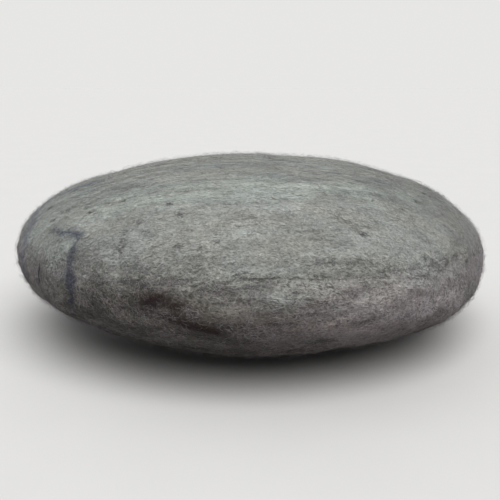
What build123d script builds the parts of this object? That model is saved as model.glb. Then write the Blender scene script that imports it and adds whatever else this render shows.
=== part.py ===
from build123d import *

import os
from math import cos, radians, sin, sqrt

# A felted wool pebble: a flattened round body of marled wool felt over a stack of carded wool batts.
#
# Row frame: +Z up, origin at the centre of the flat that the pebble rests on, +Y away from the front,
# millimetres. The rim's fleece overlap runs round the body a little above its widest line.

# Driving dimensions.
DIAMETER = 360.0
OVAL_THICKNESS = 135.0  # of the full oval, before it settles onto its flat
REST_FLAT_RADIUS = 60.0
RIM_RADIUS = 30.0  # the oval is three tangent arcs: crown, shoulder and rim
CROWN_ANGLE = 15.6  # from upright, where the crown's arc meets the shoulder's
SHOULDER_ANGLE = 42.3  # from upright, where the shoulder's arc meets the rim's

SKIN = 5.0  # marled outer felt
BASE_FELT = 6.0  # coarse felt under it
LINER = 1.0  # cotton pad cover
BATT_COUNT = 5

# Worked out from them.
HALF_WIDTH = DIAMETER / 2
HALF_THICKNESS = OVAL_THICKNESS / 2


def tangent_radii():
    """Radii of the crown's and shoulder's arcs that run smoothly into the rim's."""
    sin_c, cos_c = sin(radians(CROWN_ANGLE)), cos(radians(CROWN_ANGLE))
    sin_s, cos_s = sin(radians(SHOULDER_ANGLE)), cos(radians(SHOULDER_ANGLE))
    across = HALF_WIDTH - RIM_RADIUS * (1 - sin_s)
    upright = RIM_RADIUS * cos_s - HALF_THICKNESS
    spread = sin_c * (cos_s - cos_c) - (sin_s - sin_c) * (cos_c - 1)
    crown = (across * (cos_s - cos_c) - upright * (sin_s - sin_c)) / spread
    shoulder = (sin_c * upright - (cos_c - 1) * across) / spread
    return crown, shoulder


CROWN_RADIUS, SHOULDER_RADIUS = tangent_radii()
REST_FLAT_DEPTH = CROWN_RADIUS - sqrt(CROWN_RADIUS**2 - REST_FLAT_RADIUS**2)
MID_Z = HALF_THICKNESS - REST_FLAT_DEPTH  # height of the widest line
TOP_Z = OVAL_THICKNESS - REST_FLAT_DEPTH
BASE_INSET = SKIN  # how far each layer's outer face lies inside the body's surface
LINER_INSET = BASE_INSET + BASE_FELT
CORE_INSET = LINER_INSET + LINER
FAR = 2 * DIAMETER  # reaches past everything

# Where two fleeces lap, as heights above the widest line: the outer one ends at the low edge,
# and the inner one's tongue runs up under it to the high edge.
SKIN_LAP = (14.0, 38.0)
BASE_LAP = (-30.0, -6.0)

SEAM_ALLOWANCE = 9.0  # of the liner's rim seam, turned inwards

YARN_WIDTH = 2.6
YARN_THICKNESS = 2.0
YARN_TURNS_X = (-158.5, -110.0, -55.0, 8.0, 55.0, 110.0, 152.0)  # upright turns, across the width
YARN_TURNS_Z = (-24.0, 29.6)  # level turns, from the widest line

STRAND_PROUD = 0.4
STRAND_DEPTH = 1.4
THREAD_WIDTH = 0.9
SHOULDER_BEND = (-158.5, -24.0)  # where the shoulder strand turns from upright to level, seen from above

# Dark tufts felted into the front of the lower skin: centre across and above the widest line,
# then half width, half height and tilt down to the right, in degrees.
LARGE_TUFT = (-53.0, 2.5, 13.0, 6.0, 10.0)
SMALL_TUFT = (-32.0, -12.0, 17.0, 4.2, 11.0)


def half_section(inset):
    """Right half of the body's upright section, shrunk by inset on every side."""
    crown_centre = Vector(0, HALF_THICKNESS - CROWN_RADIUS)
    shoulder_centre = crown_centre + Vector(
        (CROWN_RADIUS - SHOULDER_RADIUS) * sin(radians(CROWN_ANGLE)),
        (CROWN_RADIUS - SHOULDER_RADIUS) * cos(radians(CROWN_ANGLE)),
    )
    rim_centre = Vector(HALF_WIDTH - RIM_RADIUS, 0)
    crown = CenterArc(crown_centre, CROWN_RADIUS - inset, 90 - CROWN_ANGLE, CROWN_ANGLE)
    shoulder = CenterArc(
        shoulder_centre, SHOULDER_RADIUS - inset, 90 - SHOULDER_ANGLE, SHOULDER_ANGLE - CROWN_ANGLE
    )
    rim = CenterArc(rim_centre, RIM_RADIUS - inset, 0, 90 - SHOULDER_ANGLE)
    upper = Curve() + [crown, shoulder, rim]
    axis = Line((0, inset - HALF_THICKNESS), (0, HALF_THICKNESS - inset))
    oval = Pos(0, MID_Z) * make_face(upper + mirror(upper, Plane.XZ) + axis)
    return oval & band(inset, FAR)


def band(low, high, inner=0.0, outer=FAR):
    """A rectangle of the half section, from height low to high and from radius inner to outer."""
    return Pos(inner, low) * Rectangle(outer - inner, high - low, align=Align.MIN)


def turned(section):
    """The section turned all the way round the upright axis."""
    return revolve(Plane.XZ * section, Axis.Z)


def layer_section(outer_inset, inner_inset):
    return half_section(outer_inset) - half_section(inner_inset)


def slab(x=(-FAR, FAR), y=(-FAR, FAR), z=(-FAR, FAR)):
    """A box from its limits along each axis, with z counted from the widest line."""
    return Pos(x[0], y[0], z[0] + MID_Z) * Box(
        x[1] - x[0], y[1] - y[0], z[1] - z[0], align=Align.MIN
    )


def strip(middle, width):
    return (middle - width / 2, middle + width / 2)


def lapped_pair(outer_inset, inner_inset, lap):
    """The lower and upper halves of a felt layer, half-lapped round the rim."""
    split = (outer_inset + inner_inset) / 2
    low, high = (MID_Z + edge for edge in lap)
    outside = layer_section(outer_inset, split)
    inside = layer_section(split, inner_inset)
    lower = (outside & band(-FAR, low)) + (inside & band(-FAR, high))
    upper = (outside & band(low, FAR)) + (inside & band(high, FAR))
    return turned(lower), turned(upper)


def core_batts():
    """Carded wool batts, stacked flat and trimmed to the oval, from the bottom up."""
    oval = half_section(CORE_INSET)
    bottom = CORE_INSET
    thickness = (TOP_Z - 2 * CORE_INSET) / BATT_COUNT
    allowance = band(MID_Z - LINER, MID_Z + LINER, inner=HALF_WIDTH - CORE_INSET - SEAM_ALLOWANCE)
    batts = []
    for step in range(BATT_COUNT):
        low = bottom + step * thickness
        batts.append(turned((oval & band(low, low + thickness)) - allowance))
    return batts


def liner_panels():
    """The two round cotton panels of the pad, each with its seam allowance turned in."""
    cloth = layer_section(LINER_INSET, CORE_INSET)
    rim = HALF_WIDTH - LINER_INSET - LINER / 2
    allowance = rim - SEAM_ALLOWANCE
    upper = (cloth & band(MID_Z, FAR)) + band(MID_Z, MID_Z + LINER, allowance, rim)
    lower = (cloth & band(-FAR, MID_Z)) + band(MID_Z - LINER, MID_Z, allowance, rim)
    return turned(lower), turned(upper)


def binding_yarn():
    """One yarn wound round the padded core, upright and level turns crossing each other."""
    course = turned(layer_section(BASE_INSET, BASE_INSET + YARN_THICKNESS))
    turns = [slab(x=strip(x, YARN_WIDTH)) for x in YARN_TURNS_X]
    turns += [slab(z=strip(z, YARN_WIDTH)) for z in YARN_TURNS_Z]
    return Part() + [course & turn for turn in turns]


def surface_layer(depth):
    return turned(layer_section(-STRAND_PROUD, depth))


def corner_strand():
    """Yarn that shows at the front left: a level stroke, a sharp corner and an upright stroke."""
    upright = slab(x=strip(-109.5, YARN_WIDTH), y=(-FAR, 0), z=(-18, 30.9))
    level = slab(x=(-134, -108.2), y=(-FAR, 0), z=strip(29.6, YARN_WIDTH))
    return surface_layer(STRAND_DEPTH) & (upright + level)


def shoulder_strand():
    """Yarn that shows over the left shoulder, up from the widest line and then along the crest."""
    bend_x, bend_y = SHOULDER_BEND
    outer, inner = strip(bend_y, YARN_WIDTH)
    upright = slab(x=strip(bend_x, YARN_WIDTH), y=(-FAR, inner), z=(-8, FAR))
    level = slab(x=(bend_x - YARN_WIDTH / 2, -112), y=(outer, inner), z=(0, FAR))
    return surface_layer(STRAND_DEPTH) & (upright + level)


def dark_thread():
    return surface_layer(STRAND_DEPTH) & slab(
        x=strip(-138, THREAD_WIDTH), y=(-FAR, 0), z=(-4, 10.5)
    )


def tuft(across, above, half_width, half_height, tilt):
    """A patch of dark wool felted into the front of the skin."""
    outline = Plane.XZ * Pos(across, MID_Z + above) * Rot(Z=-tilt) * Ellipse(half_width, half_height)
    return surface_layer(STRAND_DEPTH) & extrude(outline, HALF_WIDTH + FAR / 2)


def cut_away(body, pieces):
    for piece in pieces:
        body = body - piece
    return body


def make_parts():
    parts = {}
    names = ("bottom", "lower", "middle", "upper", "top")
    for name, batt in zip(names, core_batts()):
        parts[f"core_batt_{name}"] = batt
    parts["liner_lower_panel"], parts["liner_upper_panel"] = liner_panels()

    parts["binding_yarn"] = binding_yarn()
    base_lower, base_upper = lapped_pair(BASE_INSET, LINER_INSET, BASE_LAP)
    parts["base_felt_lower"] = base_lower - parts["binding_yarn"]
    parts["base_felt_upper"] = base_upper - parts["binding_yarn"]

    parts["corner_strand"] = corner_strand()
    parts["shoulder_strand"] = shoulder_strand()
    parts["dark_thread"] = dark_thread()
    parts["dark_tuft_large"] = tuft(*LARGE_TUFT)
    parts["dark_tuft_small"] = tuft(*SMALL_TUFT)
    inlays = [
        parts[name]
        for name in (
            "corner_strand",
            "shoulder_strand",
            "dark_thread",
            "dark_tuft_large",
            "dark_tuft_small",
        )
    ]
    skin_lower, skin_upper = lapped_pair(0, SKIN, SKIN_LAP)
    parts["felt_skin_lower"] = cut_away(skin_lower, inlays)
    parts["felt_skin_upper"] = cut_away(skin_upper, inlays)
    return parts


os.makedirs("parts", exist_ok=True)
for node, shape in make_parts().items():
    export_step(shape, f"parts/{node}.step")
    print(node, len(shape.solids()), "solid(s)", round(shape.volume), "mm3")
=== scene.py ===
import math
from itertools import product

import bpy
import numpy as np
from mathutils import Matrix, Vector
from numpy.random import default_rng


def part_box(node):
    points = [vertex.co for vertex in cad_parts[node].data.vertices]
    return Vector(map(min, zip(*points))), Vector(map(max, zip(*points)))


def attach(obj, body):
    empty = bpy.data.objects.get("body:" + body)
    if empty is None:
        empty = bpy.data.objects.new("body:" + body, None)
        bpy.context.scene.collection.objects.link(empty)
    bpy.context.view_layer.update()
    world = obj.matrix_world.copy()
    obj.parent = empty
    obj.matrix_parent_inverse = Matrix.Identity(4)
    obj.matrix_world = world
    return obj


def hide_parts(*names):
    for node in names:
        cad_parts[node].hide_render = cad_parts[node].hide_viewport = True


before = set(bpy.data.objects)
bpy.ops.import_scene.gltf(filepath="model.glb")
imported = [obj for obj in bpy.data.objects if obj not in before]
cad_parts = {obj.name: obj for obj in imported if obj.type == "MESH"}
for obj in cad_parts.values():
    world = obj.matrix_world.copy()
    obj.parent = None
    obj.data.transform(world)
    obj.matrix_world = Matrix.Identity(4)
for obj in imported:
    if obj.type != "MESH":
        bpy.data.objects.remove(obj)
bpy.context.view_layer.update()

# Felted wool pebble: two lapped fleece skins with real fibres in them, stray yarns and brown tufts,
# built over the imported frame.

MM = 0.001

# -------- the body's shape, from the frame
SKIN_LOW, SKIN_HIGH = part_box("felt_skin_lower")
CROWN_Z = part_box("felt_skin_upper")[1].z
MID_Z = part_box("liner_lower_panel")[1].z  # the widest line
LAP_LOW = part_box("felt_skin_upper")[0].z - MID_Z  # where the upper fleece ends
LAP_HIGH = SKIN_HIGH.z - MID_Z  # how far up the lower fleece's tongue goes under it
SKIN = CROWN_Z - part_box("base_felt_upper")[1].z
HALF_WIDTH = (SKIN_HIGH.x - SKIN_LOW.x) / 2
HALF_THICKNESS = CROWN_Z - MID_Z

TUFTS = {}  # middle of each, and half its width, depth and height
for tuft in ("dark_tuft_large", "dark_tuft_small"):
    tuft_low, tuft_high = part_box(tuft)
    TUFTS[tuft] = ((tuft_low + tuft_high) / 2, (tuft_high - tuft_low) / 2)
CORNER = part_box("corner_strand")
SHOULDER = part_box("shoulder_strand")
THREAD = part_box("dark_thread")
HALF_YARN = 1.3 * MM  # half of a strand's width

# The section is five tangent arcs. The angles, from upright, are where the crown's arc meets the
# shoulder's and where the shoulder's meets the rim's.
RIM_RADIUS = 30 * MM
CROWN_ANGLE, SHOULDER_ANGLE = math.radians(15.6), math.radians(42.3)


def oval_arcs():
    """Radii, centres and end angles of the section's arcs, from crown to foot."""
    sin_c, cos_c = math.sin(CROWN_ANGLE), math.cos(CROWN_ANGLE)
    sin_s, cos_s = math.sin(SHOULDER_ANGLE), math.cos(SHOULDER_ANGLE)
    across = HALF_WIDTH - RIM_RADIUS * (1 - sin_s)
    upright = RIM_RADIUS * cos_s - HALF_THICKNESS
    spread = sin_c * (cos_s - cos_c) - (sin_s - sin_c) * (cos_c - 1)
    crown = (across * (cos_s - cos_c) - upright * (sin_s - sin_c)) / spread
    shoulder = (sin_c * upright - (cos_c - 1) * across) / spread
    high = HALF_THICKNESS - crown
    centre = ((crown - shoulder) * sin_c, high + (crown - shoulder) * cos_c)
    radii = [crown, shoulder, RIM_RADIUS, shoulder, crown]
    centres = [(0, high), centre, (HALF_WIDTH - RIM_RADIUS, 0), (centre[0], -centre[1]), (0, -high)]
    ends = [CROWN_ANGLE, SHOULDER_ANGLE, math.pi - SHOULDER_ANGLE, math.pi - CROWN_ANGLE, math.pi]
    return np.array(radii), np.array(centres), np.array(ends)


RADII, CENTRES, ENDS = oval_arcs()
ARC_ANGLES = np.concatenate([[0], ENDS])  # where an arc starts or ends
ARC_PLACES = np.concatenate([[0], np.cumsum(RADII * np.diff(ARC_ANGLES))])  # the same, along the surface
ROUND = ARC_PLACES[-1]  # from crown to foot


def section(angle):
    """Radius and height from the widest line, where the surface's normal has this angle."""
    arc = np.clip(np.searchsorted(ENDS, angle), 0, len(ENDS) - 1)
    return (
        CENTRES[arc, 0] + RADII[arc] * np.sin(angle),
        CENTRES[arc, 1] + RADII[arc] * np.cos(angle),
    )


def angle_at(along):
    """The normal's angle at a distance along the surface from the crown."""
    return np.interp(along, ARC_PLACES, ARC_ANGLES)


# The section at fine steps, to look heights up in, and its upper half's radii and heights.
ANGLE_TABLE = np.linspace(0, math.pi, 4000)
HEIGHT_TABLE = section(ANGLE_TABLE)[1]
UPPER_TABLE = section(ANGLE_TABLE[ANGLE_TABLE < math.pi / 2])


def along_at(height):
    """The distance along the surface from the crown, at a height from the widest line."""
    angle = np.interp(-height, -HEIGHT_TABLE, ANGLE_TABLE)
    return np.interp(angle, ARC_ANGLES, ARC_PLACES)


def on_body(angle, azimuth):
    """Points of the smooth body and their normals."""
    radius, height = section(angle)
    flat = np.stack([np.cos(azimuth), np.sin(azimuth)], -1)
    point = np.concatenate([flat * radius[..., None], (height + MID_Z)[..., None]], -1)
    normal = np.concatenate([flat * np.sin(angle)[..., None], np.cos(angle)[..., None]], -1)
    return point, normal


def nearest(point):
    """The smooth body's nearest points and normals."""
    radius = np.hypot(point[..., 0], point[..., 1])
    height = point[..., 2] - MID_Z
    angle = np.full(radius.shape, math.pi)
    for arc in reversed(range(len(ENDS))):
        here = np.arctan2(radius - CENTRES[arc, 0], height - CENTRES[arc, 1])
        here = np.where(here < 0, math.pi, here)
        angle = np.where(here <= ENDS[arc], np.maximum(here, ARC_ANGLES[arc]), angle)
    return on_body(angle, np.arctan2(point[..., 1], point[..., 0]))


def front_point(x, z):
    """The body's front at a place across and above the widest line, in metres."""
    angle = np.interp(-z, -HEIGHT_TABLE, ANGLE_TABLE)
    radius = section(angle)[0]
    return np.stack([x, -np.sqrt(np.maximum(radius**2 - x**2, 0)), z + MID_Z], -1)


def top_point(x, y):
    """The body's upper side at a place seen from above, in metres."""
    return np.stack([x, y, np.interp(np.hypot(x, y), *UPPER_TABLE) + MID_Z], -1)


# -------- relief
LATTICE_SIZE = 32
LATTICE = default_rng(11).random((LATTICE_SIZE,) * 3) * 2 - 1


def noise(point, size, shift=0.0):
    """Smooth noise from -1 to 1, with features of this size, which may differ along x, y and z."""
    place = point / size + shift
    cell = np.floor(place).astype(int)
    t = place - cell
    t = t * t * (3 - 2 * t)
    total = np.zeros(point.shape[:-1])
    for corner in product((0, 1), repeat=3):
        weight = np.prod(np.where(corner, t, 1 - t), axis=-1)
        at = (cell + corner) % LATTICE_SIZE
        total += weight * LATTICE[at[..., 0], at[..., 1], at[..., 2]]
    return total


def smooth(value, low, high):
    """0 below low and 1 above high, smooth between."""
    t = np.clip((value - low) / (high - low), 0, 1)
    return t * t * (3 - 2 * t)


def bell(value, middle, width):
    """1 at middle, falling to about a third at width each side."""
    return np.exp(-(((value - middle) / width) ** 2))


def unit(vectors):
    return vectors / (np.linalg.norm(vectors, axis=-1, keepdims=True) + 1e-12)


def from_front(azimuth):
    """Angle from the front, positive to the right."""
    return (azimuth + 1.5 * math.pi) % (2 * math.pi) - math.pi


# Height in mm, count all round and phase of the waves in the upper fleece's edge.
LAP_WAVES = ((1.6, 3, 0.6), (1.1, 7, 2.0), (0.6, 17, 0.0))

# Height of each swelling or hollow, its place across and above the widest line, half width and half
# height, all in mm. They are front and back alike.
SWELLINGS = (
    (3.0, -150, 34, 52, 26),
    (-2.6, 168, 26, 34, 24),
    (6.0, 140, -28, 56, 20),
    (1.5, 60, -45, 60, 20),
    (-2.6, -112, 44, 26, 13),
    (-2.6, 116, 42, 17, 13),
    (1.6, 150, 26, 14, 12),
    (-1.4, 28, 66, 24, 10),
)

# Height, size along x, y and z in mm, and shift of each layer of lumps: all over, then on the lower fleece.
LUMPS = (
    (1.5, (75, 75, 75), 0.0),
    (0.6, (28, 28, 28), 5.3),
    (0.32, (36, 8, 7), 9.1),
    (0.2, (12, 4, 4), 2.7),
)
LOWER_LUMPS = (
    (0.85, (20, 12, 9), 6.6),
    (0.42, (7, 7, 7), 8.2),
)
FOLD_SIZE, FOLD_DEPTH = (34, 16, 9), 0.75


def lap_height(azimuth):
    """Height of the upper fleece's edge, from the widest line, which wanders as felt does."""
    turn = from_front(azimuth)
    return LAP_LOW + MM * sum(size * np.sin(count * turn + phase) for size, count, phase in LAP_WAVES)


def lumps(point, layers):
    return sum(height * noise(point, np.multiply(size, MM), shift) for height, size, shift in layers)


def crease(point):
    """The groove along the lap's edge in mm, with a soft swelling below it and another above.

    It shows from the front's middle to its right, and all but fades out elsewhere."""
    azimuth = np.arctan2(point[..., 1], point[..., 0])
    turn = np.degrees(from_front(azimuth))
    shown = 0.1 + 0.9 * smooth(turn, -22, 4) * (1 - smooth(turn, 36, 48))
    away = (point[..., 2] - MID_Z - lap_height(azimuth)) / MM
    depth = np.maximum(0.60 + 0.9 * noise(point, 19 * MM, 4.4), 0.05)
    return shown * (0.5 * bell(away, -7, 5.0) + 0.3 * bell(away, 6, 5.0) - depth * bell(away, 0, 2.4))


def relief(point):
    """How far the felt stands out from the smooth body."""
    across, above = point[..., 0] / MM, (point[..., 2] - MID_Z) / MM
    out = lumps(point, LUMPS) + crease(point)
    for height, x, z, wide, high in SWELLINGS:
        out += height * bell(across, x, wide) * bell(above, z, high)
    lower = smooth(LAP_LOW / MM + 6 - above, 0, 16)  # 1 from a little below the lap's edge
    folds = bell(noise(point, np.multiply(FOLD_SIZE, MM), 3.7), 0, 0.13)  # where the noise passes 0
    out += lower * (lumps(point, LOWER_LUMPS) - FOLD_DEPTH * folds)
    return out * MM


def raised(point, lift):
    """Points on the felt's surface nearest to these, lifted by this much."""
    base, normal = nearest(point)
    found = base + normal * (relief(base) + lift)[..., None]
    found[..., 2] = np.maximum(found[..., 2], 0.0)
    return found, normal


# -------- pieces
def new_object(name, data):
    made = bpy.data.objects.new(name, data)
    bpy.context.collection.objects.link(made)
    return made


def finish_piece(piece, replaced):
    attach(piece, "root")
    if replaced:
        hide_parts(*replaced)
    return piece


def mesh_piece(name, points, faces, material):
    mesh = bpy.data.meshes.new(name)
    mesh.from_pydata(points.tolist(), [], faces)
    mesh.validate()
    mesh.polygons.foreach_set("use_smooth", [True] * len(mesh.polygons))
    mesh.materials.append(material)
    return new_object(name, mesh)


AROUND = 600
TURN = np.linspace(0, 2 * math.pi, AROUND, endpoint=False)


def shell_row(along, depth, turn, clear=False):
    """Points round the body, this deep in the felt. clear keeps them off the base felt."""
    base, normal = on_body(angle_at(np.broadcast_to(along, turn.shape)), turn)
    out = relief(base) - depth
    if clear:
        out = np.maximum(out, -depth)
    found = base + normal * out[:, None]
    found[:, 2] = np.maximum(found[:, 2], depth)
    return found


def fleece(name, rows, start, end, material):
    """A closed felt shell: rows of (distance along the surface, depth under it), between two poles."""
    points = [shell_row(along, depth, TURN, depth > 0.6 * SKIN) for along, depth in rows]
    points += [shell_row(along, depth, np.zeros(1)) for along, depth in (start, end)]
    count = len(rows) * AROUND
    index = np.arange(count).reshape(len(rows), AROUND)
    ahead = np.roll(index, -1, axis=1)
    quads = np.stack([index[:-1], index[1:], ahead[1:], ahead[:-1]], -1).reshape(-1, 4)
    first = np.stack([np.full(AROUND, count), index[0], ahead[0]], -1)
    last = np.stack([np.full(AROUND, count + 1), ahead[-1], index[-1]], -1)
    faces = quads.tolist() + first.tolist() + last.tolist()
    return mesh_piece(name, np.concatenate(points), faces, material)


def fleece_skins(upper_material, lower_material):
    """The two lapped fleeces. The lower one's tongue runs up inside the upper one's edge."""
    edge = along_at(lap_height(TURN))
    tongue = along_at(np.full(AROUND, LAP_HIGH))
    half, under = 0.48 * SKIN, 0.96 * SKIN  # depths of the lap's face and of the inner face

    def run(low, high, count, depth):
        return [(low + (high - low) * t, depth) for t in np.linspace(0, 1, count)]

    tip = 2 * MM  # how near the poles the first and last rows come
    rows = run(tip, edge, 100, 0.0)
    rows += [(edge + 0.1 * MM, 0.2 * MM), (edge - 2 * MM, 0.7 * MM), (edge - 5 * MM, 1.6 * MM)]
    rows += run(edge - 9 * MM, tongue, 8, half) + run(tongue - 1 * MM, tip, 16, under)
    upper = fleece("fleece_upper", rows, (0.0, 0.0), (0.0, under), upper_material)

    foot = ROUND - tip
    rows = run(foot, edge + 0.2 * MM, 110, 0.0)
    rows += [(edge - 0.6 * MM, 0.35 * MM), (edge - 2.5 * MM, 0.9 * MM), (edge - 5.5 * MM, 1.9 * MM)]
    rows += run(edge - 9 * MM, tongue + 1 * MM, 8, 1.1 * half) + run(tongue + 2 * MM, foot, 28, under)
    lower = fleece("fleece_lower", rows, (ROUND, 0.0), (ROUND, under), lower_material)
    return (
        finish_piece(upper, ["felt_skin_upper"]),
        finish_piece(lower, ["felt_skin_lower"]),
    )


def along_surface(way, normal):
    """Directions turned to lie in the surface."""
    return unit(way - normal * np.sum(way * normal, -1, keepdims=True))


def tube_faces(rings, sides, first=0):
    """Two triangles for each side between one ring of points and the next."""
    faces = []
    for low in range(first, first + (rings - 1) * sides, sides):
        high = low + sides
        for c in range(sides):
            n = (c + 1) % sides
            faces += [(low + c, low + n, high + n), (low + c, high + n, high + c)]
    return faces


def fibres(starts, headings, lengths, lifts, radii, curl, rng):
    """Closed tapered threads that follow the felt. lifts gives each station's height above it.

    Returns their points and faces."""
    count, stations = lifts.shape
    place, normal = nearest(starts)
    heading = along_surface(headings, normal)
    bend = rng.normal(0, curl, count)
    line, normals = [], []
    for step in range(stations):
        found, normal = raised(place, lifts[:, step])
        line.append(found)
        normals.append(normal)
        side = np.cross(normal, heading)
        turn = (bend + rng.normal(0, 0.5 * curl, count))[:, None]
        heading = along_surface(heading * np.cos(turn) + side * np.sin(turn), normal)
        place = nearest(place + heading * (lengths / (stations - 1))[:, None])[0]
    line, normals = np.stack(line, 1), np.stack(normals, 1)
    ahead = unit(np.gradient(line, axis=1))
    side = unit(np.cross(normals, ahead))
    up = np.cross(ahead, side)
    rings, sides = stations - 2, 3
    corners = []
    for corner in range(sides):
        a = 2 * math.pi * corner / sides + 0.5
        reach = radii[:, None, None]
        corners.append(line[:, 1:-1] + reach * (math.cos(a) * up + math.sin(a) * side)[:, 1:-1])
    ring = np.stack(corners, 2).reshape(count, rings * sides, 3)
    points = np.concatenate([line[:, :1], ring, line[:, -1:]], 1)
    points[..., 2] = np.maximum(points[..., 2], 0.1 * MM)
    tip = rings * sides + 1
    faces = tube_faces(rings, sides, 1)
    for c in range(sides):
        n = (c + 1) % sides
        faces += [(0, 1 + n, 1 + c), (tip, tip - sides + c, tip - sides + n)]
    faces = (np.array(faces)[None] + (np.arange(count) * (tip + 1))[:, None, None]).reshape(-1, 3)
    return points.reshape(-1, 3), faces


def wool_piece(name, groups, material, slot, replaced=()):
    """One piece of fibres and plies, from groups of points and faces."""
    points, faces, base = [], [], 0
    for group_points, group_faces in groups:
        points.append(group_points)
        faces.append(group_faces + base)
        base += len(group_points)
    made = mesh_piece(name, np.concatenate(points), np.concatenate(faces).tolist(), material)
    finish_piece(made, replaced)


def scattered(count, rng, low, high):
    """Evenly spread points of the body between two heights from the widest line."""
    table = np.linspace(0, ROUND, 3000)
    radius, height = section(angle_at(table))
    weight = radius * ((height > low) & (height < high))
    total = np.cumsum(weight)
    along = np.interp(rng.random(count) * total[-1], total, table)
    return on_body(angle_at(along), rng.random(count) * 2 * math.pi)[0]


def grain(point, rng, stray):
    """Which way the wool lies: level along x over the crown and front, upright at the two ends."""
    ends = smooth(np.abs(point[:, 0]), 118 * MM, 165 * MM)[:, None]
    waver = 0.16 + 0.34 * smooth(MID_Z + LAP_LOW - point[:, 2], -4 * MM, 14 * MM)[:, None]
    waver = noise(point, 60 * MM, 3.1)[:, None] * waver
    way = (1 - 0.75 * ends) * (1, 0, 0) + 0.85 * ends * (0, 0.25, 1) + waver * (0, 1, 1)
    way += rng.normal(0, 1, point.shape) * stray
    return way * rng.choice([-1, 1], len(point))[:, None]


def clear_of_tufts(start, rng):
    """Drops three in four of the starts that lie on the brown tufts."""
    keep = np.ones(len(start), bool)
    for middle, reach in TUFTS.values():
        across, above = (start[:, 0] - middle.x) / reach.x, (start[:, 2] - middle.z) / reach.z
        on_tuft = (across**2 + above**2 < 1.2) & (start[:, 1] < 0)
        keep &= ~on_tuft | (rng.random(len(start)) < 0.25)
    return start[keep]


def clumped(count, rng, heights, clump):
    """Spread points, crowded into clumps: pale wool where clump is positive, dark where it is negative."""
    start = clear_of_tufts(scattered(3 * count, rng, *np.multiply(heights, MM)), rng)
    crowd = 0.8 * noise(start, 6 * MM, 1.9) + 0.6 * noise(start, (15 * MM, 8 * MM, 6 * MM), 7.3)
    return start[rng.random(len(start)) < np.clip(0.5 + clump * crowd, 0.04, 1.0)][:count]


def arched(rng, count, shape, spread):
    """The height of each fibre's stations: this shape, with some chance in it."""
    return rng.normal(0, spread, (count, len(shape))) + shape


def laid_fibres(name, count, seed, heights, lengths, radii, stray, curl, wool, clump):
    """Fibres that lie in the felt, shorter and less straight at the front than on the crown."""
    rng = default_rng(seed)
    start = clumped(count, rng, heights, clump)
    count = len(start)
    near = smooth(-start[:, 1], 45 * MM, 100 * MM)
    lifts = arched(rng, count, (-0.25, 0.12, 0.2, 0.12, -0.25), 0.06) * MM
    longest = 32 - 25 * near
    run = np.minimum(rng.uniform(*lengths, count), longest) * MM
    thick = rng.uniform(*radii, count) * MM
    made = fibres(start, grain(start, rng, stray + 0.5 * near[:, None]), run, lifts, thick, curl, rng)
    wool_piece(name, [made], *wool)


def proud_fuzz(name, count, seed, heights, tallest, wool, clump):
    """Short curled fibres that stand off the felt, some of them looped back into it."""
    rng = default_rng(seed)
    start = clumped(count, rng, heights, clump)
    count = len(start)
    tall = tallest * rng.random(count) ** 1.9 + 0.3
    rise = arched(rng, count, (-0.1, 0.45, 0.9, 1.0, 0.75), 0.12)
    looped = rng.random(count)[:, None] < 0.45
    fall = np.where(looped, (1, 1, 1, 0.75, 0.2), 1.0)
    lifts = tall[:, None] * rise * fall * MM
    run = (rng.uniform(1.8, 6, count) + tall) * MM
    thick = rng.uniform(0.028, 0.05, count) * MM
    made = fibres(start, grain(start, rng, 0.9), run, lifts, thick, 0.5, rng)
    wool_piece(name, [made], *wool)


def yarn_plies(path, radius, lift, pitch):
    """Two twisted plies along a line of points on the felt. lift is the yarn's height at each point."""
    sides = 6
    found, normal = raised(path, lift)
    ahead = np.gradient(found, axis=0)
    run = np.concatenate([[0], np.cumsum(np.linalg.norm(ahead, axis=-1)[1:])])
    side = unit(np.cross(normal, unit(ahead)))
    taper = np.minimum(smooth(run, 0, 3 * MM), smooth(run[-1] - run, 0, 3 * MM)) * 0.85 + 0.15
    groups = []
    for start in (0.0, math.pi):
        phase = start + 2 * math.pi * run / pitch
        centre = found + 0.62 * radius * taper[:, None] * (
            np.cos(phase)[:, None] * side + 0.6 * np.sin(phase)[:, None] * normal
        )
        rings = []
        for corner in range(sides):
            a = 2 * math.pi * corner / sides
            around = math.cos(a) * side + 0.75 * math.sin(a) * normal
            rings.append(centre + 0.55 * radius * taper[:, None] * around)
        faces = tube_faces(len(path), sides)
        last = (len(path) - 1) * sides
        for c in range(1, sides - 1):
            faces += [(0, c + 1, c), (last, last + c, last + c + 1)]
        groups.append((np.stack(rings, 1).reshape(-1, 3), np.array(faces)))
    return groups


def wisps(path, count, spread, length, lift, radius, rng, loose, dense=None):
    """Loose fibres along a line of points, mostly its way. dense, or else spread, says how many at each."""
    share = (spread if dense is None else dense)[:-1]
    at = rng.choice(len(path) - 1, count, p=share / share.sum())
    way = unit(path[at + 1] - path[at])
    start = path[at] + rng.normal(0, 1, (count, 3)) * spread[at][:, None]
    way = (way + rng.normal(0, loose, way.shape)) * rng.choice([-1, 1], count)[:, None]
    lifts = arched(rng, count, (-0.1, 0.5, 0.8, 0.6, 0.0), 0.2) * lift
    thick = rng.uniform(0.6, 1.2, count) * radius
    return fibres(start, way, rng.uniform(*length, count), lifts, thick, 0.35, rng)


# -------- materials
def feed(tree, socket, value):
    """Sets a node's input to a constant, or links it to a value or to another node's output."""
    if isinstance(value, Value):
        value = value.socket
    if isinstance(value, bpy.types.NodeSocket):
        tree.links.new(value, socket)
        return
    if isinstance(value, tuple) and len(value) < len(socket.default_value):
        value = (*value, 1.0)  # a color's opacity
    socket.default_value = value


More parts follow.
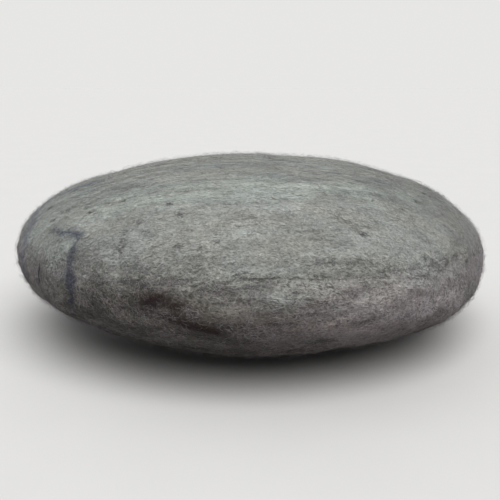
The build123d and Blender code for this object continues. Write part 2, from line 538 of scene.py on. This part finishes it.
class Value:
    """A number that a material works out at each point. Values add and multiply as numbers do."""

    def __init__(self, tree, socket):
        self.tree, self.socket = tree, socket

    def do(self, operation, *others, clamp=False):
        made = self.tree.nodes.new("ShaderNodeMath")
        made.operation, made.use_clamp = operation, clamp
        for at, operand in enumerate((self, *others)):
            feed(self.tree, made.inputs[at], operand)
        return Value(self.tree, made.outputs[0])

    def __add__(self, other):
        return self.do("ADD", other)

    def __mul__(self, other):
        return self.do("MULTIPLY", other)

    def __sub__(self, other):
        return self.do("SUBTRACT", other)

    def __rsub__(self, other):
        return self * -1.0 + other

    __radd__, __rmul__ = __add__, __mul__

    def __abs__(self):
        return self.do("ABSOLUTE")

    def most(self, other):
        return self.do("MAXIMUM", other)

    def swing(self, size):
        """How far a noise is from its middle, times this."""
        return (self - 0.5) * size

    def step(self, low, high):
        """0 below low and 1 above high, smooth between. If low is above high, the other way round."""
        made = self.tree.nodes.new("ShaderNodeMapRange")
        made.interpolation_type = "SMOOTHSTEP"
        limits = (self, min(low, high), max(low, high), float(low > high), float(low <= high))
        for key, value in zip(("Value", "From Min", "From Max", "To Min", "To Max"), limits):
            feed(self.tree, made.inputs[key], value)
        return Value(self.tree, made.outputs["Result"])

    def bell(self, middle, width):
        """1 at middle, falling to about a third at width each side."""
        away = (self - middle).do("DIVIDE", width)
        return (away * away * -1.0).do("EXPONENT")


class Shader:
    """A material's node tree, built a node at a time."""

    def __init__(self, name):
        self.material = bpy.data.materials.new(name)
        self.material.use_nodes = True
        self.tree = self.material.node_tree
        self.bsdf = self.tree.nodes["Principled BSDF"]
        self.place = self.node("ShaderNodeTexCoord").outputs["Object"]

    def node(self, kind, inputs=None, **settings):
        made = self.tree.nodes.new(kind)
        for key, value in settings.items():
            setattr(made, key, value)
        for key, value in (inputs or {}).items():
            feed(self.tree, made.inputs[key], value)
        return made

    def noise(self, size, detail=2.0, rough=0.5, place=None, shift=0.0):
        """Noise from about 0 to 1, with features of this size in mm, which may differ along x, y and z."""
        size = size if isinstance(size, tuple) else (size, size, size)
        mapping = self.node("ShaderNodeMapping", {"Vector": place or self.place})
        mapping.inputs["Scale"].default_value = [1 / (s * MM) for s in size]
        mapping.inputs["Location"].default_value = (shift, 0.7 * shift, 1.3 * shift)
        inputs = {"Vector": mapping.outputs[0], "Scale": 1.0, "Detail": detail, "Roughness": rough}
        return Value(self.tree, self.node("ShaderNodeTexNoise", inputs).outputs[0])

    def wave(self, axis, phase):
        inputs = {"Vector": self.place, "Scale": 700.0, "Phase Offset": phase, "Distortion": 0.3}
        return Value(self.tree, self.node("ShaderNodeTexWave", inputs, bands_direction=axis).outputs["Fac"])

    def blend(self, share, a, b, how="MIX"):
        made = self.node("ShaderNodeMix", data_type="RGBA", blend_type=how, clamp_factor=True)
        for at, value in ((0, share), (6, a), (7, b)):
            feed(self.tree, made.inputs[at], value)
        return made.outputs[2]

    def dye(self, color, share, tint):
        return self.blend(share, color, tint, "MULTIPLY")

    def bump(self, *layers):
        """Relief from layers of (height from 0 to 1, depth in metres)."""
        normal = None
        for height, depth in layers:
            inputs = {"Height": height, "Distance": depth, "Strength": 1.0}
            if normal:
                inputs["Normal"] = normal
            normal = self.node("ShaderNodeBump", inputs).outputs[0]
        self.tree.links.new(normal, self.bsdf.inputs["Normal"])

    def surface(self, color, rough, sheen=0.0, specular=0.15):
        for key, value in (
            ("Base Color", color),
            ("Roughness", rough),
            ("Specular IOR Level", specular),
            ("Sheen Weight", sheen),
            ("Sheen Roughness", 0.55),
        ):
            feed(self.tree, self.bsdf.inputs[key], value)


def fibre_wool(name, color):
    """One tone of wool, for pieces made of single fibres."""
    shader = Shader(name)
    shader.surface(color, 0.85, 0.2)
    return shader.material


class MarledFelt(Shader):
    """Marled fleece: level streaks over the crown and front, upright ones at the ends, mottles and specks.

    Places, heights and widths are in metres."""

    DARK, PALE = (0.100, 0.102, 0.096), (0.480, 0.492, 0.460)

    def __init__(self, name):
        super().__init__(name)
        axes = self.node("ShaderNodeSeparateXYZ", {"Vector": self.place}).outputs
        self.x, self.y, self.z = (Value(self.tree, axis) for axis in axes)
        self.height = self.z - MID_Z
        self.make_noises()
        self.make_zones()
        color = self.blend(self.tone(), self.DARK, self.PALE)
        patches = self.noise((50, 22, 16), shift=43.0).step(0.36, 0.64)
        color = self.dye(color, 0.8, self.blend(patches, (0.955, 0.985, 1.0), (1.0, 0.98, 0.953)))
        for stain in (self.tint_crown, self.tint_lower, self.stain_blue, self.stain_brown):
            color = stain(color)
        self.surface(color, 0.95, 0.25)
        self.bump(
            (self.clumps, 0.0030),
            (self.mottle, 0.0022),
            (self.crimp, 0.0003),
            (self.streak, 0.0006),
            (self.speckle, 0.0013),
            (self.noise((12, 0.55, 0.50), 2.0, 0.6, self.bent, 31.0), 0.0002),
        )

    def curls(self, size, shift):
        """Thin pale lines that wander and close on themselves, as crimped fibres do."""
        return abs(self.noise(size, 1.5, 0.5, self.bent, shift) - 0.5).step(0.075, 0.0)

    def make_noises(self):
        warp = self.node("ShaderNodeTexNoise", {"Vector": self.place, "Scale": 28.0, "Detail": 2.0})
        inputs = {0: warp.outputs["Color"], 1: (0.5, 0.5, 0.5)}
        away = self.node("ShaderNodeVectorMath", inputs, operation="SUBTRACT")
        away = self.node("ShaderNodeVectorMath", {0: away.outputs[0], "Scale": 0.014}, operation="SCALE")
        self.bent = self.node("ShaderNodeVectorMath", {0: self.place, 1: away.outputs[0]}).outputs[0]

        at_end = abs(self.x).step(0.122, 0.162)
        level = self.noise((26, 2.6, 1.7), 4.0, 0.65, self.bent)
        upright = self.noise((1.6, 1.6, 16), 4.0, 0.6, self.bent, 3.0)
        self.streak = level * (1.0 - at_end) + upright * at_end
        self.bands = self.noise((80, 9, 6), 3.0, 0.55, self.bent, 7.0)
        self.mottle = self.noise((24, 15, 11), 3.0, 0.6, shift=11.0)
        self.speckle = self.noise((2.1, 1.6, 1.2), 2.0, 0.75, shift=17.0)
        self.flecks = self.noise((10, 3, 2.4), 2.0, 0.6, self.bent, 23.0)
        self.dashes = self.noise((22, 10, 4.5), 3.0, 0.6, self.bent, 47.0)
        self.clumps = self.noise((40, 18, 11), shift=29.0)
        self.swirls = self.curls((55, 50, 40), 57.0)
        self.crimp = self.curls((6.0, 4.2, 3.6), 37.0).most(self.curls((4.4, 3.4, 3.0), 51.0) * 0.8)

    def make_zones(self):
        """Shares from 0 to 1 of where on the pebble a point is."""
        x, y, height = self.x, self.y, self.height
        turn = x.do("ARCTAN2", y * -1.0)  # from the front, positive to the right
        line = height - LAP_LOW
        for size, count, phase in LAP_WAVES:
            line = line - (turn * count + phase).do("SINE") * (size * MM)
        self.line = line  # height above the lap's edge
        self.left = x.step(0.03, -0.08)
        self.right = x.step(0.020, 0.058)
        self.far_left = x.step(-0.100, -0.128)
        # Tones that change with height do so lower down at the far left.
        self.left_height = height + self.far_left * 0.013
        self.below = height.step(0.016, -0.012)
        self.crease = turn.step(-0.30, 0.12) * turn.step(0.82, 0.62) * 0.94 + 0.06
        self.blotchy = turn.step(-0.85, -0.50) * turn.step(0.90, 0.70)
        self.front = y.step(-0.015, -0.05)
        # The pale band crosses the crown on a curve, and this is how far a point is beyond it.
        self.past_band = y + 0.094 - x * 0.10 - x * x
        self.on_top = height.step(0.028, 0.044)
        self.far = self.on_top * self.past_band.step(-0.045, 0.005)
        # A belt along the lap's edge, strongest at the left, and the low left: more mottled, and darkened
        # with painted shade.
        belt = height.bell(LAP_LOW + 0.001, 0.012)
        self.mottled_shaded = belt * (0.30 + self.left * 0.58) + self.left * self.below * 0.7

    def tone(self):
        """How pale the wool is, from 0 to 1, with painted shade and a painted highlight worked in."""
        x, height, line, left, below = self.x, self.height, self.line, self.left, self.below
        on_top, mottled_shaded, past_band = self.on_top, self.mottled_shaded, self.past_band
        band = past_band.bell(0.0, 0.0070 + left * 0.0045) * abs(x).step(0.150, 0.090)
        flecks = self.flecks.step(0.58, 0.70) * self.clumps.step(0.38, 0.58)
        changes = (
            self.streak.swing(0.42 + self.far * 0.50),
            self.bands.swing(0.52 + self.far * 0.40),
            self.mottle.swing(0.90 + below * 0.5),
            self.speckle.swing(1.45 + below * (0.5 + left)),
            self.clumps.swing(0.39 + mottled_shaded * 1.17),
            (self.crimp - 0.3) * (0.13 + below * 0.20 + mottled_shaded * 0.42),
            # Painted shade over that belt and the low left.
            mottled_shaded * -0.22,
            # Faint swirls over the upper fleece.
            self.swirls * line.step(0.004, 0.018) * -0.10,
            # The lap's edge: a line of painted shade that comes and goes, a painted highlight on the paler
            # swelling under it and painted shade in dashes on the fold over it.
            line.bell(0.0, 0.0017) * self.crease * self.mottle.step(0.40, 0.60) * -0.20,
            line.bell(-0.0085, 0.0065) * self.crease * self.right * 0.09,
            line.bell(0.0085, 0.0020) * self.crease * self.right * self.dashes.step(0.50, 0.62) * -0.30,
            # Dark blotches of painted shade along it, darkest at the left.
            line.bell(-0.0015, 0.0055) * self.blotchy * self.dashes.step(0.46, 0.62) * (left * -0.25 - 0.42),
            # Flecks everywhere.
            flecks * (0.28 + mottled_shaded + on_top * 0.16) * -0.75,
            # The crown: its pale band, beyond the band, both its sides, and more so its right.
            band * on_top * self.bands.step(0.15, 0.50) * 0.17,
            past_band.step(-0.004, 0.026) * on_top * -0.06,
            abs(x).step(0.045, 0.100) * on_top * -0.07,
            x.step(0.030, 0.105) * on_top * -0.065,
            # The two ends, darkened with painted shade.
            x.step(0.105, 0.155) * height.step(-0.036, -0.012) * -0.43,
            x.step(-0.100, -0.150) * self.left_height.step(0.030, 0.016) * -0.12,
            self.far_left * height.step(0.034, 0.022) * -0.09,
            # Painted shade low on the front, at the left and a little right of the middle.
            left * below * -0.04,
            self.left_height.step(0.034, 0.016) * left * self.front * -0.16,
            x.bell(0.020, 0.020) * height.bell(0.002, 0.009) * self.front * -0.20,
        )
        return sum(changes).do("ADD", 0.52, clamp=True)

    def tint_crown(self, color):
        """A minty band, bluish streaks beyond it, and a cooler grey towards the middle of the crown."""
        minty = abs(self.past_band).step(0.040, 0.006) * self.on_top
        mint_end = self.far_left * self.line.step(-0.014, -0.006)
        color = self.dye(color, minty.most(mint_end), (0.935, 1.0, 0.990))
        streaks = self.past_band.step(0.004, 0.022) * self.on_top * self.bands.step(0.50, 0.34)
        color = self.dye(color, streaks * 0.85, (0.66, 0.75, 0.79))
        beyond = (self.past_band + self.bands.swing(0.07)).step(0.0, 0.060)
        return self.dye(color, beyond * self.on_top * 0.7, (0.90, 0.925, 0.92))

    def tint_lower(self, color):
        """The lower fleece turns pinkish and then brown towards the foot, soonest at the left; its darkening
        is partly the wool's own and partly painted shade.
        """
        edge = self.left_height + self.mottle.swing(0.022) - self.left * 0.012 + self.right * 0.005
        warm = self.blend(self.x.step(-0.06, 0.04), (0.87, 0.865, 0.80), (1.0, 0.875, 0.945))
        color = self.dye(color, (edge - self.right * 0.012).step(0.014, -0.016), warm)
        # Greyer and darker from under the lap's edge down: partly the wool's own, partly painted shade.
        color = self.dye(color, edge.step(0.002, -0.024) * 0.85, (0.56, 0.52, 0.525))
        # In the shade of the swelling, at the left, from the lap's edge or a little under it.
        under = self.line + self.x.step(-0.075, -0.015) * 0.009 + self.mottle.swing(0.014)
        shade = under.step(0.002, -0.010) * (1.0 - self.right) * self.y.step(0.03, -0.03)
        color = self.dye(color, shade, (0.555, 0.54, 0.515))
        # Brown and dark at the foot: partly the wool's own, partly painted shade.
        foot = (edge + self.clumps.swing(0.030)).step(-0.018, -0.046)
        return self.dye(color, foot * 0.9, (0.42, 0.335, 0.315))

    def stain_blue(self, color):
        """Blue fibres that have crept out of the strands."""
        x, y, z = self.x, self.y, self.z
        upright_x, level_z = CORNER[1].x - HALF_YARN, CORNER[1].z - HALF_YARN
        wander = self.bands.swing(0.004)
        drop = (x + wander).bell(upright_x - 1.0 * MM, 0.0026)
        drop *= z.step(CORNER[0].z - 4 * MM, CORNER[0].z + 12 * MM)
        drop *= z.step(level_z + 2 * MM, level_z - 2 * MM)
        smudge = x.bell(upright_x - 2.2 * MM, 0.0046) * self.height.bell(0.008, 0.0075)
        smudge *= self.speckle.step(0.40, 0.62)
        tilt = 0.03  # of the level stroke
        bar = (z - x * tilt).bell(level_z - 0.7 * MM - tilt * upright_x, 0.0022)
        bar *= x.step(CORNER[0].x - 4 * MM, CORNER[0].x + 6 * MM)
        bar *= x.step(upright_x + 3 * MM, upright_x)
        strands = (drop * 0.42).most(smudge * 0.75).most(bar * 0.55)
        color = self.dye(color, strands * self.front * (0.45 + self.speckle * 1.1), (0.40, 0.44, 0.56))
        # The shoulder strand's stain spreads inside its bend, on a quarter turn seen from above.
        radius = 46 * MM
        middle_x, middle_y = SHOULDER[0].x + HALF_YARN + radius, SHOULDER[1].y - HALF_YARN - 50 * MM
        dx, dy = x - middle_x, y - middle_y
        reach = (dx * dx + dy * dy).do("SQRT")
        quarter = (reach + wander * 2.0).bell(radius, 0.0046)
        quarter *= x.step(middle_x + 14 * MM, middle_x - 12 * MM)
        quarter *= y.step(middle_y - 26 * MM, middle_y - 8 * MM)
        quarter *= z.step(SHOULDER[0].z - 6 * MM, SHOULDER[0].z + 8 * MM)
        return self.dye(color, quarter * 0.85, (0.56, 0.60, 0.76))

    def spot(self, middle, half_width, half_height, slope):
        """A soft ragged spot on the front that slopes down to the right."""
        across = (self.x + self.clumps.swing(0.030)).bell(middle.x, half_width)
        return across * (self.z + self.x * slope).bell(middle.z + slope * middle.x, half_height) * self.front

    def stain_brown(self, color):
        """Brown wool round the tufts, in patches."""
        patchy = 0.42 + self.noise((11, 8, 7), 2.0, 0.6, shift=61.0).step(0.40, 0.56) * 0.58
        grainy = 0.25 + (self.speckle * 0.6 + self.crimp * 0.3).step(0.22, 0.46) * 0.85
        for (middle, reach), slope, shift in zip(TUFTS.values(), (0.12, 0.20), (0.0, 4 * MM)):
            middle = middle + Vector((shift, 0, 0))
            core = self.spot(middle, reach.x * 1.05, reach.z * 1.05, slope)
            color = self.dye(color, core * grainy * patchy * 0.95, (0.14, 0.070, 0.060))
            halo = self.spot(middle, reach.x * 2.0, reach.z * 2.2, slope) * self.speckle.step(0.40, 0.62)
            color = self.dye(color, halo * 0.6, (0.58, 0.42, 0.38))
        return color


def hidden_cloth(name, color, kind):
    """Materials of the pieces inside: woven cotton, carded wool or coarse felt."""
    shader = Shader(name)
    if kind == "woven":
        weave = shader.wave("X", 0.0) * shader.wave("Y", 0.3)
        tone = 0.7 + weave * 0.2 + shader.noise(30) * 0.2
        shader.bump((weave, 0.0003))
    else:
        strands = shader.noise((30, 4, 3) if kind == "carded" else (6, 4, 4), 4.0, 0.6)
        clumps = shader.noise(25, 3.0, 0.6, shift=5.0)
        tone = 0.5 + strands * 0.45 + clumps * 0.35
        shader.bump((clumps, 0.003), (strands, 0.0015))
    dark = tuple(0.55 * c for c in color)
    shader.surface(shader.blend(tone, dark, color), 0.95, 0.2)
    return shader.material


# -------- strands, tufts and stray hairs
def corner_yarn():
    """Blue yarn at the front left: a level stroke, a sharp corner, and an upright one that sinks in."""
    rng = default_rng(41)
    low, high = CORNER
    bar_z, down_x = high.z - MID_Z - 1.6 * MM, high.x - HALF_YARN
    across = np.linspace(low.x, down_x + 2 * MM, 40)
    sag = np.interp(np.linspace(0, 1, 40), [0, 0.22, 0.63, 1], [-0.7, -1.7, 0.3, 0.1]) * MM
    level = front_point(across, bar_z + sag + 0.15 * MM * np.sin(across / (3 * MM)))
    drop = np.linspace(0, 1, 70)  # the upright stroke's drift, lift, spread and fibres change along it
    upright_z = bar_z + (low.z - MID_Z - bar_z) * drop
    drift = np.interp(
        drop, [0, 0.11, 0.28, 0.45, 0.62, 0.8, 1], [1.8, -0.4, -2.4, -2.6, -1.6, -3.0, -4.0]
    )
    upright = front_point(down_x + drift * MM, upright_z)
    level_lift = np.interp(across, [low.x, low.x + 5 * MM, down_x], [-0.45, -0.2, 0.15]) * MM
    upright_lift = np.interp(
        drop, [0, 0.15, 0.3, 0.4, 0.5, 0.6, 1], [0.0, -0.3, -0.15, 0.0, -0.2, -0.7, -0.9]
    )
    groups = yarn_plies(level, 0.5 * MM, level_lift, 4.6 * MM)
    groups += yarn_plies(upright, 0.5 * MM, upright_lift * MM, 6.0 * MM)
    thick = np.interp(drop, [0, 0.26, 0.37, 0.46, 0.54, 0.63, 1], [0.6, 0.9, 1.8, 2.6, 2.3, 1.1, 0.6]) * MM
    dense = np.interp(
        drop, [0, 0.25, 0.34, 0.42, 0.50, 0.58, 0.66, 1], [0.7, 0.7, 1.4, 2.3, 2.3, 1.2, 0.5, 0.1]
    )
    dense *= 0.35 + 1.1 * np.clip(noise(upright, 4 * MM, 5.5) + 0.45, 0, 1)
    thin = np.interp(across, [low.x, down_x], [0.65, 1.0]) * MM
    full = np.interp(across, [low.x, down_x - 9 * MM, down_x], [0.6, 1.0, 2.4])
    groups.append(wisps(level, 150, thin, (2 * MM, 7 * MM), 0.5 * MM, 0.07 * MM, rng, 0.45, full))
    groups.append(wisps(upright, 520, thick, (1.5 * MM, 4.5 * MM), 0.8 * MM, 0.08 * MM, rng, 1.1, dense))
    blue = fibre_wool("corner_strand_yarn_wool", (0.056, 0.066, 0.106))
    wool_piece("corner_strand_yarn", groups, blue, "blue_yarn", ["corner_strand"])


def shoulder_yarn():
    """Blue yarn over the left shoulder: up from the rim, round a bend, and level behind the crest."""
    rng = default_rng(43)
    low, high = SHOULDER
    bend_x, bend_y = low.x + HALF_YARN, high.y - HALF_YARN
    up_to = smooth(np.linspace(-0.7, 1, 60), -0.7, 1.7)
    rim_y = -math.sqrt(HALF_WIDTH**2 - bend_x**2)
    rim = front_point(np.full(10, bend_x), np.linspace(low.z - MID_Z, -1 * MM, 10))
    rise_y = rim_y + (bend_y - rim_y) * up_to / up_to[-1]
    corner = 9 * MM
    rise = np.stack([np.full(60, bend_x), rise_y - corner * up_to], -1)
    along = np.stack([np.linspace(bend_x + corner, high.x, 50), np.full(50, bend_y)], -1)
    t = np.linspace(0, 1, 14)[1:-1, None]
    bend = (1 - t) ** 2 * rise[-1] + 2 * t * (1 - t) * np.array([bend_x, bend_y]) + t**2 * along[0]
    flat = np.concatenate([rise, bend, along])  # seen from above
    path = np.concatenate([rim, top_point(*flat.T)])
    run = np.linspace(0, 1, len(path))
    path[:, 0] += 1.0 * MM * np.sin(9 * run) * (run < 0.5)
    lift = (-0.30 + 0.25 * np.sin(14 * run)) * MM
    groups = yarn_plies(path, 0.5 * MM, lift, 6.5 * MM)
    spread = np.interp(run, [0, 0.3, 1], [1.8, 2.8, 3.2]) * MM
    groups.append(wisps(path, 620, spread, (4 * MM, 11 * MM), 0.35 * MM, 0.07 * MM, rng, 0.5))
    faded = fibre_wool("shoulder_strand_yarn_wool", (0.15, 0.165, 0.215))
    wool_piece("shoulder_strand_yarn", groups, faded, "blue_yarn", ["shoulder_strand"])


def dark_hair():
    """A short dark thread at the left, below the level stroke."""
    rng = default_rng(47)
    low, high = THREAD
    t = np.linspace(0, 1, 24)
    x = (low.x + high.x) / 2 + np.interp(t, [0, 0.5, 1], [1.0, -0.2, -0.6]) * MM
    path = front_point(x, high.z - MID_Z + (low.z - high.z) * t)
    groups = yarn_plies(path, 0.42 * MM, (0.45 + 0.12 * np.sin(3 * t)) * MM, 5 * MM)
    groups.append(wisps(path, 24, np.full(24, 0.5 * MM), (3 * MM, 6 * MM), 0.3 * MM, 0.07 * MM, rng, 0.4))
    dark = fibre_wool("dark_thread_yarn_wool", (0.030, 0.034, 0.045))
    wool_piece("dark_thread_yarn", groups, dark, "dark_yarn", ["dark_thread"])


def brown_tuft(node, seed, count, slope, cores):
    """Tangled brown wool, thickest at its cores: places across in half widths and up in half heights."""
    rng = default_rng(seed)
    middle, reach = TUFTS[node]
    core = np.array(cores)[rng.integers(len(cores), size=count)]
    loose = np.where(rng.random((count, 1)) < 0.45, 0.11, 0.27)
    spot = np.clip(core + rng.normal(0, 1, (count, 2)) * loose, -2.1, 1.3)
    x = middle.x + spot[:, 0] * reach.x
    z = middle.z - MID_Z + spot[:, 1] * reach.z * 0.8 - slope * spot[:, 0] * reach.x
    start = front_point(x, z)
    way = rng.normal(0, 1, (count, 3)) * (1.3, 0.6, 0.7)
    dense = np.exp(-np.sum(spot**2, -1) * 2)
    lifts = arched(rng, count, (-0.2, 0.5, 0.8, 0.5, -0.1), 0.25) * MM
    lifts *= (0.3 + 0.6 * dense)[:, None]
    run, thick = rng.uniform(2, 6, count) * MM, rng.uniform(0.035, 0.07, count) * MM
    made = fibres(start, way, run, lifts, thick, 0.9, rng)
    brown = fibre_wool(node + "_wool_wool", (0.040, 0.020, 0.017))
    wool_piece(node + "_wool", [made], brown, "brown_wool", [node])


def dark_flecks():
    """Small knots of dark fibre, here and there over the upper fleece and the lap."""
    rng = default_rng(71)
    knots = 100
    start = np.repeat(scattered(knots, rng, 6 * MM, 50 * MM), rng.integers(6, 38, knots), axis=0)
    start += rng.normal(0, 1, start.shape) * (1.3, 1.3, 0.6) * MM
    way = rng.normal(0, 1, start.shape) * (1.4, 0.7, 0.7)
    count = len(start)
    lifts = arched(rng, count, (-0.2, 0.5, 0.8, 0.6, -0.1), 0.2) * 0.5 * MM
    run, thick = rng.uniform(1.5, 4, count) * MM, rng.uniform(0.04, 0.08, count) * MM
    made = fibres(start, way, run, lifts, thick, 0.8, rng)
    wool_piece("dark_flecks", [made], fibre_wool("fleck_wool", (0.075, 0.075, 0.076)), "dark_yarn")


def crown_wisp():
    """A small raised curl of pale wool, a little behind the middle of the crown."""
    rng = default_rng(59)
    count = 90
    start = rng.normal(0, 1, (count, 3)) * (4.5, 4.0, 0.0) * MM + (8 * MM, 36 * MM, CROWN_Z)
    way = rng.normal(0, 1, (count, 3))
    lifts = rng.uniform(0.2, 1.1, (count, 1)) * (0.0, 1.0, 1.8, 2.0, 1.4) * MM
    run, thick = rng.uniform(2, 6, count) * MM, rng.uniform(0.03, 0.05, count) * MM
    made = fibres(start, way, run, lifts, thick, 0.7, rng)
    wool_piece("crown_wisp", [made], fibre_wool("wisp_wool", (0.36, 0.37, 0.35)), "upper_felt")


def stray_hairs():
    """A single dark hair over the left shoulder, and a brownish lock low at the right."""
    rng = default_rng(53)
    count = 24
    t = np.linspace(0, 1, count)
    seen_from_above = np.array([(-0.73, -0.28), (-0.68, -0.33), (-0.63, -0.37), (-0.58, -0.43)])
    bends = top_point(*(seen_from_above * HALF_WIDTH).T)
    hair = np.stack([np.interp(t, np.linspace(0, 1, len(bends)), bends[:, axis]) for axis in range(3)], -1)
    lock_x = np.interp(t, [0, 0.5, 1], [0.28, 0.34, 0.385]) * HALF_WIDTH
    lock_z = np.interp(t, [0, 0.5, 1], [0.245, 0.218, 0.182]) * HALF_WIDTH
    lock = front_point(lock_x, lock_z)
    groups = yarn_plies(hair, 0.28 * MM, np.full(count, 0.1 * MM), 9 * MM)
    spread = np.full(count, 0.9 * MM)
    groups.append(wisps(lock, 90, spread, (4 * MM, 9 * MM), 0.15 * MM, 0.045 * MM, rng, 0.25))
    wool_piece("stray_hairs", groups, fibre_wool("stray_wool", (0.12, 0.11, 0.10)), "dark_yarn")


LARGE_CORES = ((0.0, 0.35), (0.20, 0.50), (-0.25, 0.05), (0.80, -0.20), (-0.50, -0.70), (-0.75, -1.70))
SMALL_CORES = ((0.65, -0.10), (0.45, 0.15), (0.10, 0.10), (-0.35, 0.0), (-0.85, 0.25))

corner_yarn()
shoulder_yarn()
dark_hair()
brown_tuft("dark_tuft_large", 61, 760, 0.15, LARGE_CORES)
brown_tuft("dark_tuft_small", 67, 700, 0.19, SMALL_CORES)
stray_hairs()
dark_flecks()
crown_wisp()

# -------- skins and their fibres
fleece_skins(MarledFelt("upper_marled_felt").material, MarledFelt("lower_marled_felt").material)

# Each wool, with a slot's name.
LIGHT = (fibre_wool("light_wool", (0.43, 0.44, 0.415)), "upper_felt")
CHARCOAL = (fibre_wool("charcoal_wool", (0.19, 0.19, 0.18)), "upper_felt")
PINKISH = (fibre_wool("pinkish_wool", (0.455, 0.41, 0.425)), "lower_felt")
BROWN_GREY = (fibre_wool("brown_grey_wool", (0.075, 0.067, 0.063)), "lower_felt")
# The belly's fibres are dark partly as painted shade.
SHADED_BELLY = (fibre_wool("belly_wool_and_shade", (0.105, 0.084, 0.077)), "lower_felt")
UPPER_FUZZ = (fibre_wool("upper_fuzz_wool", (0.33, 0.34, 0.32)), "upper_felt")
LOWER_FUZZ = (fibre_wool("lower_fuzz_wool", (0.345, 0.312, 0.323)), "lower_felt")
TOP = HALF_THICKNESS / MM
MOST = 10900  # fibres in a piece, which keeps it under 200,000 faces

# Name, count, seed, from and to what height from the widest line, lengths and radii in mm, then
# stray, curl, wool and clump.
LAID = (
    ("laid_light_upper", MOST, 101, (18, TOP), (10, 32), (0.025, 0.050), 0.05, 0.10, LIGHT, 0.3),
    ("laid_charcoal_upper", 8500, 103, (18, TOP), (8, 26), (0.025, 0.045), 0.06, 0.12, CHARCOAL, -0.5),
    ("matted_light_upper", MOST, 149, (8, 46), (2, 6), (0.032, 0.055), 0.7, 0.9, LIGHT, 0.6),
    ("matted_dark_upper", MOST, 151, (8, 46), (2, 5), (0.032, 0.055), 0.7, 0.9, CHARCOAL, -0.8),
    ("laid_light_lower", MOST, 107, (-34, 16), (2, 7), (0.034, 0.058), 0.6, 0.9, PINKISH, 1.5),
    ("laid_dark_lower", MOST, 109, (-38, 18), (1.5, 5), (0.038, 0.068), 0.65, 0.9, BROWN_GREY, -1.5),
    ("laid_belly", 4500, 113, (-TOP, -32), (3, 11), (0.05, 0.09), 0.5, 0.45, SHADED_BELLY, 0.5),
)
# Name, count, seed, heights and tallest in mm, wool and clump.
FUZZ = (
    ("fuzz_upper", MOST, 127, (12, TOP), 2.9, UPPER_FUZZ, 0.3),
    ("fuzz_lower", MOST, 131, (-45, 14), 3.2, LOWER_FUZZ, 1.3),
    ("fuzz_shoulder", MOST, 137, (14, 52), 1.9, UPPER_FUZZ, 0.5),
    ("fuzz_rim", MOST, 139, (-30, 16), 1.9, LOWER_FUZZ, 1.2),
)
for laid in LAID:
    laid_fibres(*laid)
for fuzz in FUZZ:
    proud_fuzz(*fuzz)

# -------- pieces inside keep their shapes
HIDDEN = {
    "core_batt_": ((0.62, 0.58, 0.50), "carded"),
    "liner_": ((0.70, 0.67, 0.60), "woven"),
    "binding_yarn": ((0.33, 0.30, 0.26), "carded"),
    "base_felt_": ((0.42, 0.40, 0.36), "felt"),
}
for start, (color, kind) in HIDDEN.items():
    material = hidden_cloth(start.strip("_") + "_cloth", color, kind)
    for name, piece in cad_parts.items():
        if name.startswith(start):
            for material_slot in piece.material_slots:
                material_slot.material = material

# -------- stage, light and camera
def stage():
    """A pale floor, which throws back less light than its looks would, as dark boards do."""
    mesh = bpy.data.meshes.new("floor")
    reach = 30.0
    corners = [(-reach, -reach, 0), (reach, -reach, 0), (reach, reach, 0), (-reach, reach, 0)]
    mesh.from_pydata(corners, [], [(0, 1, 2, 3)])
    shader = Shader("pale_floor")
    lit = (0.27, 0.263, 0.256)
    seen = shader.blend(shader.noise(80, 3.0, 0.6), (0.60, 0.595, 0.585), (0.63, 0.625, 0.615))
    direct = shader.node("ShaderNodeLightPath").outputs["Is Camera Ray"]
    shader.surface(shader.blend(direct, lit, seen), 1.0, specular=0.0)
    mesh.materials.append(shader.material)
    floor = new_object("floor", mesh)
    floor.location.z = -0.1 * MM


def sun(name, way, power, spread, color):
    """A soft distant light that comes from this direction."""
    light = bpy.data.lights.new(name, "SUN")
    light.energy, light.angle, light.color = power, math.radians(spread), color
    new_object(name, light).rotation_euler = Vector(way).to_track_quat("Z", "Y").to_euler()


def lights():
    """A broad key in front, a weaker fill from behind, and a surround that looks paler than it lights."""
    sun("key", (0.20, -0.62, 0.98), 3.15, 60, (1.0, 0.997, 0.99))
    sun("fill", (-0.35, 0.65, 0.75), 1.2, 100, (0.97, 0.985, 1.0))
    world = bpy.data.worlds.new("studio")
    world.use_nodes = True
    tree = world.node_tree
    direct = tree.nodes.new("ShaderNodeLightPath").outputs["Is Camera Ray"]
    mixer = tree.nodes.new("ShaderNodeMix")
    mixer.data_type = "RGBA"
    lit, seen = (0.20, 0.20, 0.203), (0.797, 0.793, 0.780)
    for at, value in ((0, direct), (6, lit), (7, seen)):
        feed(tree, mixer.inputs[at], value)
    feed(tree, tree.nodes["Background"].inputs["Color"], mixer.outputs[2])
    bpy.context.scene.world = world


def camera():
    """The camera stands in front, about 1.6 widths away and 13 degrees above the widest line."""
    lens = bpy.data.cameras.new("camera")
    lens.sensor_width, lens.lens = 36.0, 50.0
    lens.clip_start, lens.clip_end = 0.01, 200.0
    cam = new_object("camera", lens)
    distance, rise, pitch = 0.5643, math.radians(12.585), math.radians(13.418)
    cam.location = (-0.8 * MM, -distance * math.cos(rise), MID_Z + distance * math.sin(rise))
    cam.rotation_euler = (math.pi / 2 - pitch, 0, 0)
    bpy.context.scene.camera = cam


stage()
lights()
camera()
bpy.context.scene.view_settings.view_transform = "Standard"
